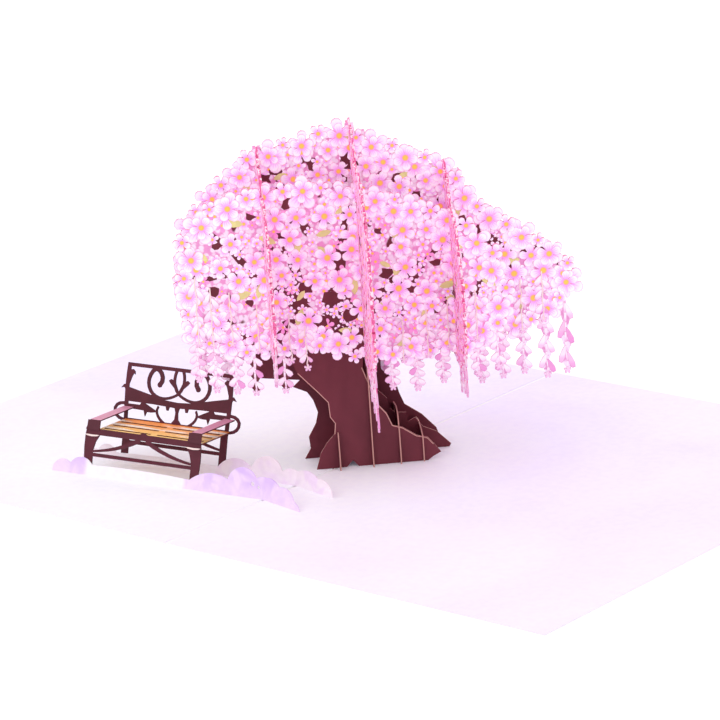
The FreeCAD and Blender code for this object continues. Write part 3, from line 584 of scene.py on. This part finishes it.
petal_print = petal_material()
leaf_print, tree, shader = card_material("leaf print", 0.6)
on_paper(tree, shader, ink(238, 236, 158), 0.5)
petal_rims, tree, shader = card_material("petal rims", 0.6)
on_paper(tree, shader, stacked_edges(tree), 0.1)
PETAL_INK, LEAF_INK, BOUGH_INK, RIM_INK = range(4)
random.seed(5)
PATCHES = {
    "tree_front_sheet": [
        (-22, 89, 2.4), (-34, 86, 1.7), (-45, 77.6, 1.5), (-53, 66.9, 2), (-47.2, 62.4, 2.2), (-36, 58, 1.6),
        (-18, 61, 2.4), (-10.5, 57, 2.8), (-4, 51, 2.6), (-14, 50, 2.4), (-24, 50, 2), (8, 64, 2),
        (16, 58, 1.6), (24, 66, 1.8), (6, 78, 1.4), (30, 56, 1.5), (-1, 44.5, 2), (-8, 46, 2),
    ],
    "tree_middle_sheet": [
        (-28, 95, 2), (-24, 97, 2), (-1.5, 100, 2.2), (0, 97, 2), (14, 92, 2), (20, 86, 1.6), (35, 70.6, 3),
        (40.5, 70, 3.4), (54, 64.8, 1.7), (58, 64, 1.5), (61.6, 63, 1.5), (48, 60, 1.6), (28, 84, 1.6),
    ],
    "tree_back_sheet": [(-20, 84, 2.4), (10, 72, 2.6), (-30, 66, 2.4), (28, 60, 2.4)],
    "tree_cross_sheet": [(-24, 80, 2.4), (22, 78, 2.4), (0, 66, 3), (34, 60, 2), (-34, 60, 2), (8, 92, 2)],
    "crown_cross_left": [(-14, 70, 2.2), (16, 66, 2.2), (4, 82, 1.8)],
    "crown_cross_right": [(-14, 60, 2.2), (16, 56, 2.2), (4, 74, 1.8)],
}


def crown_blossoms(sheet, crown):
    """Fills one sheet's crown: small flowers, bare patches, leaves, large flowers, and the rim's own."""
    plates = Plates(sheet, sheet in ROWS, RIM_INK)
    closed = crown + crown[:1]
    runs = [math.dist(a, b) for a, b in zip(closed, closed[1:])]
    low_x, high_x = min(x for x, y in crown), max(x for x, y in crown)
    low_y, high_y = min(y for x, y in crown), max(y for x, y in crown)

    def scattered(pitch, jitter):
        """Places in staggered rows within the crown, each moved a little at random."""
        found = []
        row = 0
        y = low_y
        while y < high_y:
            x = low_x + (row % 2) * pitch / 2
            while x < high_x:
                px, py = x + random.uniform(-jitter, jitter), y + random.uniform(-jitter, jitter)
                if inside(crown, px, py):
                    found.append((px, py))
                x += pitch
            y += pitch * 0.866
            row += 1
        return found

    # Painted shade: flowers on the cross sheets start from a deeper pink, for their shaded faces seen
    # edge-on.
    painted_shade = 0 if sheet in ROWS else CROSS_PAINTED_SHADE
    for x, y in scattered(*SMALL_SPREAD):
        radius = random.uniform(1.5, 2.5)
        lift = random.uniform(0.05, 0.12)
        outline = turned(SLIM_FLOWER, x, y, radius, random.uniform(0, ANY_TURN))
        if random.random() < 0.95:
            tone = painted_shade + random.choice((0, 0, 0, 0.1, 0.15, 0.85))
            plates.add((x, y), outline, lift, PETAL_INK, tone, radius)
    for x, y, reach in PATCHES[sheet]:
        points = []
        for corner in range(PATCH_CORNERS):
            bearing = corner * 2 * math.pi / PATCH_CORNERS
            far = reach * random.uniform(0.5, 1.1)
            points.append((x + far * 1.25 * math.cos(bearing), y + far * math.sin(bearing)))
        plates.add((x, y), points, random.uniform(0.125, 0.135), BOUGH_INK)
    for x, y in scattered(*LEAF_SPREAD):
        radius = random.uniform(2, 3.2)
        outline = turned(LEAF, x, y, radius, random.uniform(0, ANY_TURN))
        plates.add((x, y), outline, random.uniform(0.14, 0.16), LEAF_INK)
    for number, (x, y) in enumerate(scattered(*LARGE_SPREAD)):
        bare = min(math.dist((x, y), (px, py)) - reach for px, py, reach in PATCHES[sheet])
        if random.random() < 0.93 and bare > random.uniform(0.2, 1.8):
            radius = min(random.uniform(3.3, 4.7), bare + 3.2)
            lift = 0.17 + 0.12 * ((number * 7) % 11) / 11 + 0.01 * random.random()
            outline = turned(WIDE_FLOWER, x, y, radius, random.uniform(0, ANY_TURN))
            tone = painted_shade + max(0, random.gauss(0.03, 0.09))
            plates.add((x, y), outline, lift, PETAL_INK, tone, radius)
    count = round(sum(runs) / BLOSSOM_PITCH)
    way = 1 if sum(ax * by - bx * ay for (ax, ay), (bx, by) in zip(closed, closed[1:])) > 0 else -1
    for number in range(count * 2):
        rest = sum(runs) * number / count / 2
        leg = 0
        while rest > runs[leg]:
            rest -= runs[leg]
            leg += 1
        (ax, ay), (bx, by) = closed[leg], closed[leg + 1]
        share = rest / runs[leg]
        x, y = ax + (bx - ax) * share, ay + (by - ay) * share
        if number % 2 == 0:
            radius = BLOSSOM_RADIUS * (1 + RIM_SWELL * math.sin(SWELL_STEP * number)) * RIM_COVER
            outline = turned(WIDE_FLOWER, x, y, radius, TURN_STEP * number)
            plates.add((x, y), outline, 0.15, PETAL_INK, painted_shade + 0.1, radius)
            x, y = x + random.uniform(-0.8, 0.8), y + random.uniform(-0.8, 0.8)
            radius = random.uniform(3.6, 4.4)
            lift = random.uniform(0.31, 0.36)
        else:
            outward = random.uniform(0.4, 2.6)
            x, y = x + (by - ay) / runs[leg] * outward * way, y - (bx - ax) / runs[leg] * outward * way
            radius = random.uniform(2.4, 3.4)
            lift = random.uniform(0.36, 0.4)
        outline = turned(WIDE_FLOWER, x, y, radius, random.uniform(0, ANY_TURN))
        plates.add((x, y), outline, lift, PETAL_INK, painted_shade + random.uniform(0, 0.12), radius)
    plates.piece("blossoms_" + sheet, [petal_print, leaf_print, bough_print, petal_rims], "tree_print")


for sheet, crown in CROWNS.items():
    crown_blossoms(sheet, crown)

# The hanging sprays
# Thin cut twigs that hang from the crown's lower rim, each with pairs of small drooping petals.
# They are printed nearly white, with pinker tips. More of them, on thin wavy stems, lie over the
# crown's lower faces.
STRANDS = {
    "tree_front_sheet": [
        (-54, 46, 11), (-48.5, 43, 12), (-42, 42, 12), (-36, 41, 12), (-26.5, 40, 11),
        (8, 36, 9), (16, 35, 9), (24.5, 36, 8), (36, 39, 10), (42.5, 43, 12),
    ],
    "tree_middle_sheet": [
        (-52, 42, 9), (-44, 38, 9), (38, 34, 11), (45, 37, 13), (52, 39, 14), (59.5, 43, 20), (66, 49, 25),
    ],
    "tree_back_sheet": [
        (-47, 46, 10), (-40, 43, 11), (-25, 40, 10), (18, 37, 10), (36, 40, 10), (44, 44, 12),
    ],
    "tree_cross_sheet": [
        (50.5, 46, 20), (45, 42, 14), (37, 39, 11), (28, 37, 8), (-28, 38, 9), (-38, 41, 11), (-47, 47, 14),
    ],
    "crown_cross_left": [(37, 51, 9), (30, 46, 9), (20, 42, 8), (-20, 43, 8), (-32.5, 48.5, 10)],
    "crown_cross_right": [(38, 44, 13), (31, 40, 10), (20, 35, 8), (-20, 36, 8), (-34, 42, 11)],
}
LEAFLETS = 3
SPRAY_PAINTED_GLOW = 0.08
UPPER_LIFT = 0.42
STEM_KNOTS = 8
STEM_TAIL = 1.4
LOWER_STEM_WIDTH = 1.0
UPPER_STEM_WIDTH = 0.42
STEM_TIP_WIDTH = 0.4
PETAL_REACH = 2.3
PETAL_WIDTH = 1.9
SMALLER = 0.65
stem_print, tree, shader = card_material("stem print")
on_paper(tree, shader, ink(254, 232, 228), 0.1)
spray_print, tree, shader = card_material("spray print")
drawn = put(tree, "ShaderNodeAttribute", {}, attribute_name="print").outputs["Vector"]
tone = put(tree, "ShaderNodeAttribute", {}, attribute_name="tone").outputs["Fac"]
rim = put(tree, "ShaderNodeSeparateXYZ", {"Vector": drawn}).outputs["Z"]
below = put(tree, "ShaderNodeSeparateXYZ", {"Vector": drawn}).outputs["Y"]
pale = blended(tree, tone, ink(255, 246, 254), ink(234, 132, 206))
tipped = blended(tree, ramped(tree, below, 0.2, -1.5, 0, 0.5), pale, ink(242, 150, 220))
rimmed = blended(tree, ramped(tree, rim, 0.8, 1, 0, 0.5), tipped, ink(214, 130, 180))
on_paper(tree, shader, rimmed, 0.1)
# Painted light: the sprays glow faintly in their own colours.
tree.links.new(rimmed, shader.inputs["Emission Color"])
shader.inputs["Emission Strength"].default_value = SPRAY_PAINTED_GLOW
UPPER_STRANDS = {
    "tree_front_sheet": [
        (-53, 67, 20), (-48.5, 63, 17), (-42.5, 61, 15), (-34, 56, 13), (-29.5, 53, 12), (-24, 52, 13),
        (-19, 48, 12), (12, 48, 12), (20, 50, 13), (27, 52, 13), (36, 55, 14),
    ],
    "tree_middle_sheet": [(38.5, 50, 14), (45.5, 53, 15), (52, 54, 15), (59, 56, 14), (-50, 60, 16)],
}
PETAL_PROFILE = ((0, 0.12), (0.35, 0.38), (0.7, 0.5), (0.95, 0.3))
SPRAY_INK, STEM_INK = range(2)


def petal_shape(x, y, tip_x, tip_y, width):
    """A drooping petal from its root to its round tip, widest past its middle."""
    length = math.dist((x, y), (tip_x, tip_y))
    ux, uy = (tip_x - x) / length, (tip_y - y) / length
    sides = []
    for side in (-1, 1):
        line = []
        for along, half in PETAL_PROFILE:
            down, out = along * length, side * half * width
            line.append((x + ux * down + uy * out, y + uy * down - ux * out))
        sides.append(line)
    return sides[1] + sides[0][::-1]


for sheet, strands in STRANDS.items():
    plates = Plates(sheet, sheet in ROWS)
    upper = [strand + (UPPER_LIFT,) for strand in UPPER_STRANDS.get(sheet, [])]
    for x, top, length, over in [strand + (0.0,) for strand in strands] + upper:
        drop = length / LEAFLETS
        stem = [(x, top + 1)]
        for knot in range(1, STEM_KNOTS):
            sway = random.uniform(-0.35, 0.35) if over else 0.12 * math.sin(knot)
            stem.append((x + sway, top - (length + STEM_TAIL) * knot / STEM_KNOTS))
        stem.append((x, top - length - STEM_TAIL))
        if over:
            plates.add_line(stem, UPPER_STEM_WIDTH, STEM_TIP_WIDTH, over + 0.12, STEM_INK, 0.1)
        else:
            plates.add_line(stem, LOWER_STEM_WIDTH, STEM_TIP_WIDTH, 0.04, SPRAY_INK, 0.1)
        for leaflet in range(LEAFLETS):
            level = top - drop * leaflet
            for side, root, tip in ((-1, 0.12, 0.86), (1, 0.4, 1.1)):
                start = (x + side * 0.2, level - root * drop)
                tone = random.choice((0, 0, 0, 0.15, 0.5, 0.8))
                size = SMALLER if over and tone > 0.4 else 1
                end = (x + side * PETAL_REACH * size, level - (root + (tip - root) * size) * drop)
                middle = ((start[0] + end[0]) / 2, (start[1] + end[1]) / 2)
                shape = petal_shape(*start, *end, PETAL_WIDTH * size)
                plates.add(middle, shape, over + 0.06 + 0.01 * leaflet, SPRAY_INK, tone)
        tip = (x, top - length - 1.2)
        plates.add(tip, turned(SLIM_FLOWER, *tip, 1.3, 0.3), over + 0.1, SPRAY_INK, 0.4)
    plates.piece("sprays_" + sheet, [spray_print, stem_print], "tree_print")

# The bench's ironwork
# Two upright panels cut from dark brown card, like cast ironwork with scrolls, glued behind the
# hill strips. The arms are folded strips of the same card. Where they lie level they are painted
# pale pink, a painted sheen for light glancing off their tops.
BENCH_TURN = math.radians(9.5)
BENCH_LEAN = math.radians(17)
PANEL_FACING = (
    math.cos(BENCH_LEAN) * math.sin(BENCH_TURN),
    -math.cos(BENCH_LEAN) * math.cos(BENCH_TURN),
    math.sin(BENCH_LEAN),
)
IRON = ink(84, 30, 44)
IRON_CORE = ink(58, 22, 34)
ironwork, tree, shader = card_material("bench print")
shades = noise(tree, places(tree), 140, 3)
printed = blended(tree, ramped(tree, shades, 0.35, 0.7, 0, 0.5), IRON, ink(104, 36, 54))
on_paper(tree, shader, cut_from_card(tree, printed, IRON_CORE, PANEL_FACING), 0.2)
for panel in ("bench_front", "bench_back"):
    dress(panel, ironwork)
arm_print_and_painted_sheen, tree, shader = card_material("arm print", 0.45)
upward = put(tree, "ShaderNodeSeparateXYZ", {"Vector": put(tree, "ShaderNodeNewGeometry").outputs["Normal"]})
# Painted sheen: faces that point up are painted pale pink, for light glancing off the arms' tops.
level = ramped(tree, upward.outputs["Z"], 0.8, 0.95)
on_paper(tree, shader, blended(tree, level, IRON, ink(214, 146, 172)), 0.2)
for arm in ("bench_left_arm", "bench_right_arm"):
    dress(arm, arm_print_and_painted_sheen)

# The lips of the arms
# Each arm ends in a tab that is pushed through a slit in the front leg. The slit's pale lower lip is
# pressed out a little under it.
BENCH_ALONG = Vector((math.cos(BENCH_TURN), math.sin(BENCH_TURN), 0))
BENCH_UP = Vector(PANEL_FACING).cross(BENCH_ALONG)
FRONT_PANEL_Y = -0.0525
BENCH_FROM_FOLD = 0.0478
BENCH_FOOT = Vector((0, FRONT_PANEL_Y, GROUND)) - BENCH_ALONG * BENCH_FROM_FOLD
LIP_LEVEL = 13.2
LIP_REACH = 19.7
LIP_HALF = 0.3
LIP = [(-2.8, 0.15), (-1.9, -0.3), (0, -0.48), (1.9, -0.3), (2.8, 0.15), (1.8, 0.18), (0, 0.1), (-1.8, 0.18)]
lips_mesh = bpy.data.meshes.new("bench_lips")
points, faces = [], []
for side in (-1, 1):
    first = len(points)
    for lift in (-LIP_HALF, LIP_HALF):
        for x, y in LIP:
            on_leg = BENCH_ALONG * (side * LIP_REACH + x) + BENCH_UP * (LIP_LEVEL + y)
            points.append(BENCH_FOOT + (on_leg + Vector(PANEL_FACING) * lift) * MM)
    count = len(LIP)
    faces.append([first + corner for corner in range(count)][::-1])
    faces.append([first + count + corner for corner in range(count)])
    for corner in range(count):
        after = (corner + 1) % count
        faces.append((first + corner, first + after, first + count + after, first + count + corner))
lips_mesh.from_pydata(points, [], faces)
lip_print, tree, shader = card_material("lip print")
on_paper(tree, shader, ink(250, 226, 222), 0.2)
lips_mesh.materials.append(lip_print)
lips = bpy.data.objects.new("bench_lips", lips_mesh)
bpy.context.scene.collection.objects.link(lips)
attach(lips, "root")

# The slatted seat
# One strip of card between the two panels, slit into slats. It is printed orange, with a painted
# highlight, near white, along the middle of each slat. Its cut edges are dark brown: the card's own
# edge, darkened further to paint the shade inside the slits.
BACKWARD = Vector((-math.sin(BENCH_TURN), math.cos(BENCH_TURN), 0))
SLATS = 4
SEAT_DEPTH = 0.0152
SLAT_PAINTED_HIGHLIGHT = 0.42
PAINTED_HIGHLIGHT_REACH = 0.36
slat_print, tree, shader = card_material("slat print", 0.5)
seat_low, seat_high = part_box("bench_seat")
seat_middle = ((seat_low + seat_high) / 2).dot(BACKWARD)
depth = reach_along(tree, places(tree), BACKWARD)
share = ramped(tree, depth, seat_middle - SEAT_DEPTH / 2, seat_middle + SEAT_DEPTH / 2, 0, SLATS, False)
within = sums(tree, "FRACT", share)
off_painted_highlight = sums(tree, "ABSOLUTE", sums(tree, "SUBTRACT", within, SLAT_PAINTED_HIGHLIGHT))
# Painted highlight: a near-white band along the middle of each slat, broken up by the patchy noise.
crest = ramped(tree, off_painted_highlight, 0.0, PAINTED_HIGHLIGHT_REACH, 1, 0)
stretched = put(tree, "ShaderNodeMapping", {"Vector": places(tree), "Scale": (0.2, 1, 1)})
patchy = ramped(tree, noise(tree, stretched.outputs["Vector"], 260, 3), 0.42, 0.56)
orange = blended(tree, ramped(tree, share, 0, SLATS), ink(255, 212, 130), ink(255, 152, 70))
painted_highlight_slats = blended(tree, sums(tree, "MULTIPLY", crest, patchy), orange, ink(255, 246, 236))
# Partly painted shade: the dark brown cut edges also stand for the shade inside the slits.
on_paper(tree, shader, cut_from_card(tree, painted_highlight_slats, ink(96, 40, 30), (0, 0, 1)), 0.2)
dress("bench_seat", slat_print)

# The floor, the light and the camera
# A plain white floor under soft, even studio light, seen as the photograph sees the card. The floor
# takes the card's shadow. Its glow, which whitens the background, shows only to the camera, in
# reflections and through glass.
FLOOR_REACH = 6
FLOOR_GLOW = 0.2
SKY_STRENGTH = 1.1
LAMP_STRENGTH = 0.25
LAMP_SPREAD = math.radians(60)
LAMP_PLACE = Vector((-0.55, -0.75, 1.25))
floor_mesh = bpy.data.meshes.new("floor")
corners = [(x, y, cad_low.z) for x, y in ((-1, -1), (1, -1), (1, 1), (-1, 1))]
floor_mesh.from_pydata([(x * FLOOR_REACH, y * FLOOR_REACH, z) for x, y, z in corners], [], [(0, 1, 2, 3)])
floor = bpy.data.objects.new("floor", floor_mesh)
bpy.context.scene.collection.objects.link(floor)
floor_paint, tree, shader = card_material("floor paint", 0.9, 0)
shader.inputs["Base Color"].default_value = (0.9, 0.9, 0.9, 1)
shader.inputs["Emission Color"].default_value = (1, 1, 1, 1)
seen = put(tree, "ShaderNodeLightPath")
mirrored = sums(tree, "ADD", seen.outputs["Is Glossy Ray"], seen.outputs["Is Transmission Ray"])
looked_at = sums(tree, "ADD", seen.outputs["Is Camera Ray"], mirrored)
tree.links.new(sums(tree, "MULTIPLY", looked_at, FLOOR_GLOW), shader.inputs["Emission Strength"])
floor_mesh.materials.append(floor_paint)

world = bpy.data.worlds.new("studio")
bpy.context.scene.world = world
world.use_nodes = True
sky = world.node_tree.nodes["Background"]
sky.inputs["Color"].default_value = (1, 1, 1, 1)
sky.inputs["Strength"].default_value = SKY_STRENGTH
lamp = bpy.data.objects.new("soft_lamp", bpy.data.lights.new("soft_lamp", "SUN"))
lamp.data.energy = LAMP_STRENGTH
lamp.data.angle = LAMP_SPREAD
lamp.rotation_euler = LAMP_PLACE.to_track_quat("Z", "Y").to_euler()
bpy.context.scene.collection.objects.link(lamp)
bpy.context.scene.view_settings.view_transform = "Standard"

SIGHT_BEARING = math.radians(41.49)
SIGHT_RISE = math.radians(17.30)
SIGHT_ROLL = math.radians(-3.77)
SIGHT_DISTANCE = 1.3754
SIGHT_AIM = Vector((-0.06903, 0.07594, GROUND))
FOCAL_PIXELS = 3910.8
IMAGE_PIXELS = 720
SENSOR_WIDTH = 36
back = Vector((
    math.sin(SIGHT_BEARING) * math.cos(SIGHT_RISE),
    -math.cos(SIGHT_BEARING) * math.cos(SIGHT_RISE),
    math.sin(SIGHT_RISE),
))
right = Vector((math.cos(SIGHT_BEARING), math.sin(SIGHT_BEARING), 0))
upward = back.cross(right)
rolled_right = right * math.cos(SIGHT_ROLL) + upward * math.sin(SIGHT_ROLL)
rolled_up = upward * math.cos(SIGHT_ROLL) - right * math.sin(SIGHT_ROLL)
camera = bpy.data.objects.new("camera", bpy.data.cameras.new("camera"))
camera.data.sensor_width = SENSOR_WIDTH
camera.data.lens = SENSOR_WIDTH * FOCAL_PIXELS / IMAGE_PIXELS
camera.data.clip_end = 50
place = Matrix((rolled_right, rolled_up, back)).transposed().to_4x4()
place.translation = SIGHT_AIM + back * SIGHT_DISTANCE
camera.matrix_world = place
bpy.context.scene.collection.objects.link(camera)
bpy.context.scene.camera = camera
